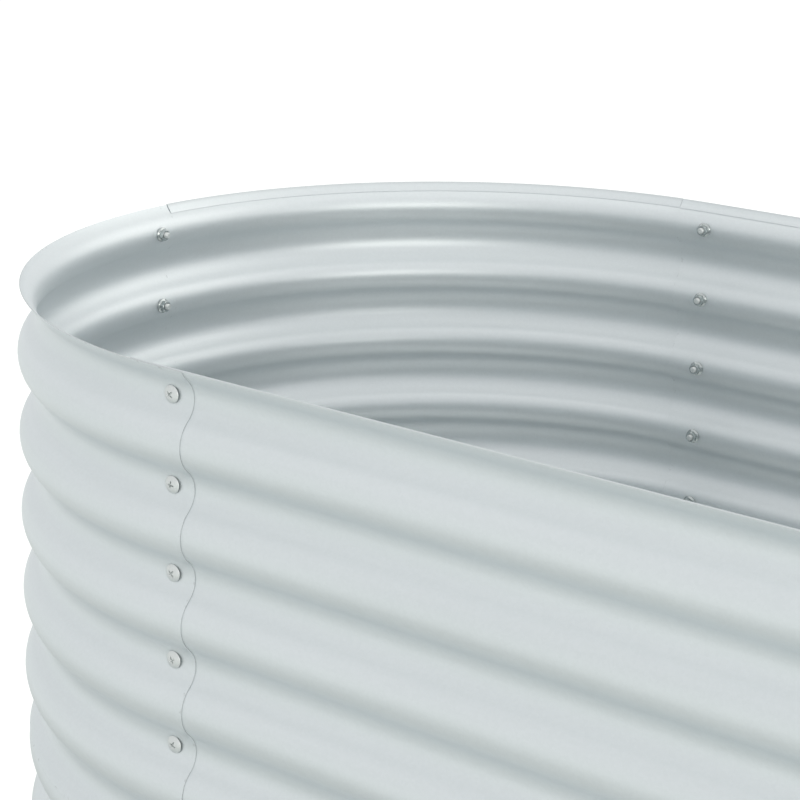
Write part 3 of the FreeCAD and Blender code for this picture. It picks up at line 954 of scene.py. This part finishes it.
# Painted reflection: a glow that only mirroring rays see, inside the bed and far away.
painted_reflection = maths(tree, "ADD", spread(tree, distance, 0.1, 0.45, INSIDE_PAINTED_REFLECTION, 0.0),
                 spread(tree, distance, 0.8, 2.0, 0.0, FAR_PAINTED_REFLECTION))
added = maths(tree, "MULTIPLY", ray.outputs["Is Glossy Ray"], painted_reflection)
added = maths(tree, "MULTIPLY_ADD", ray.outputs["Is Camera Ray"], CAMERA_GLOW, added)
matt = node(tree, "ShaderNodeBsdfDiffuse", {"Color": (0.72, 0.74, 0.72, 1)})
glow = node(tree, "ShaderNodeEmission", {"Color": (1, 1, 1, 1), "Strength": added})
close_material(tree, node(tree, "ShaderNodeAddShader", {0: matt.outputs[0], 1: glow.outputs[0]}))
floor_mesh.materials.append(floor_finish)
print("floor", 2 * FLOOR_REACH, "m across,", FLOOR_DROP / MM, "mm under the bed")

# %% [markdown]
# ## Light
# A white room gives most of the light, and three soft lamps shape it. A long narrow one, low in
# front and to the right, draws the thin bright lines along the inside of the rounded end. A large
# one behind on the right lights the same end more broadly, and a weak one overhead lifts what
# faces up. The room is a plain white background, a touch dimmer for everything but the camera.

# %% World and lamps
ROOM_LEVEL, ROOM_SEEN = 0.95, 1.0
LAMP_COLOUR = (1.0, 0.97, 0.9)
world = bpy.data.worlds.new("white_room")
bpy.context.scene.world = world
world.use_nodes = True
tree = world.node_tree
tree.nodes.clear()
ray = node(tree, "ShaderNodeLightPath")
level = spread(tree, ray.outputs["Is Camera Ray"], 0.0, 1.0, ROOM_LEVEL, ROOM_SEEN)
room = node(tree, "ShaderNodeBackground", {"Color": (1, 1, 1, 1), "Strength": level})
node(tree, "ShaderNodeOutputWorld", {"Surface": room.outputs[0]})


def soft_lamp(name, place, aim, width, height, watts):
    """A large rectangular lamp that faces a point."""
    lamp = bpy.data.lights.new(name, "AREA")
    lamp.shape = "RECTANGLE"
    lamp.size, lamp.size_y = width, height
    lamp.energy = watts
    lamp.color = LAMP_COLOUR
    holder = bpy.data.objects.new(name, lamp)
    holder.location = place
    holder.visible_camera = False
    holder.rotation_mode = "QUATERNION"
    holder.rotation_quaternion = (Vector(aim) - Vector(place)).to_track_quat("-Z", "Y")
    bpy.context.scene.collection.objects.link(holder)


soft_lamp("strip_lamp", (3.2, -2.4, 1.15), (-0.4, 0.0, 0.7), 3.6, 0.4, 36)
soft_lamp("back_lamp", (1.6, 2.9, 2.3), (-0.2, 0.0, 0.6), 4.0, 3.0, 28)
soft_lamp("top_lamp", (-0.2, 0.0, 3.0), (-0.2, 0.0, 0.0), 3.0, 3.0, 6)

# %% [markdown]
# ## Camera
# The camera stands in front of the bed, to the right, and looks down over the long wall at the left
# end. Its place, turn and lens were found from the bolts and the rim, so the waves and the screws
# fall close to where they should.
# The lens is worked out from its focal length in pixels, as such a search gives it.

# %% Camera
CAMERA_PLACE = (0.7718, -1.5984, 1.2528)
CAMERA_YAW, CAMERA_PITCH, CAMERA_ROLL = 39.682, 15.415, 0.69
SENSOR_WIDTH, PICTURE_WIDTH_PX, FOCAL_LENGTH_PX, LENS_SHIFT = 36, 800, 2328.8, 0.075
yaw, pitch, roll = (math.radians(angle) for angle in (CAMERA_YAW, CAMERA_PITCH, CAMERA_ROLL))
forward = Vector((-math.sin(yaw) * math.cos(pitch), math.cos(yaw) * math.cos(pitch), -math.sin(pitch)))
level_right = Vector((math.cos(yaw), math.sin(yaw), 0))
level_up = level_right.cross(forward)
camera_right = math.cos(roll) * level_right + math.sin(roll) * level_up
camera_up = math.cos(roll) * level_up - math.sin(roll) * level_right
lens = bpy.data.cameras.new("studio_camera")
lens.sensor_fit = "HORIZONTAL"
lens.sensor_width = SENSOR_WIDTH
lens.lens = SENSOR_WIDTH * FOCAL_LENGTH_PX / PICTURE_WIDTH_PX
lens.shift_x, lens.shift_y = LENS_SHIFT, -LENS_SHIFT
lens.clip_start, lens.clip_end = 0.05, 200
camera = bpy.data.objects.new("studio_camera", lens)
camera_turn = Matrix((camera_right, camera_up, -forward)).transposed().to_4x4()
camera.matrix_world = Matrix.Translation(CAMERA_PLACE) @ camera_turn
bpy.context.scene.collection.objects.link(camera)
bpy.context.scene.camera = camera
bpy.context.scene.view_settings.view_transform = "Standard"
print("lens", round(lens.lens, 1), "mm, camera at", tuple(round(c, 3) for c in camera.location))
